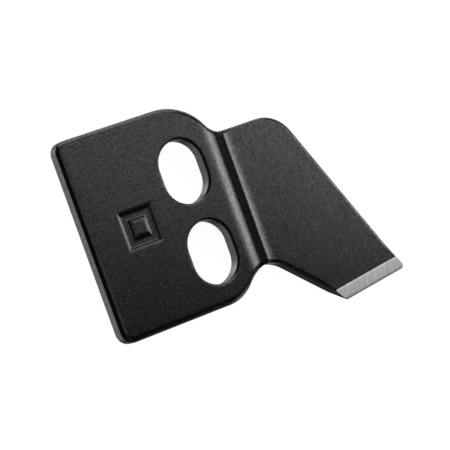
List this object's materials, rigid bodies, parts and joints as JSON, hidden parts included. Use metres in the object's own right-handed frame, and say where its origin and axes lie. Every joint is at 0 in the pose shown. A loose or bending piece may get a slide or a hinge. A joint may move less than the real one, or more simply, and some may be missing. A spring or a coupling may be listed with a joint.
{
  "type": "sewing machine fixed knife",
  "caption": "Fixed knife for a sewing machine: a slotted mounting plate, joggled down to a swept blade with a ground cutting edge.",
  "frame": {"origin": "middle of the slot pattern, on the face that the plate is screwed down on", "axes": "+Z is out of the front of the plate, towards the screw heads; +X runs from the plate to the blade; +Y runs along the two slots, towards the plate's upper edge"},
  "size_m": [0.0278, 0.0197, 0.0022],
  "materials": {
    "blackened_steel": "black oxide, satin; the cutting edge is ground bright"
  },
  "bodies": {
    "root": {"fixed_knife": "blackened_steel"}
  },
  "joints": []
}
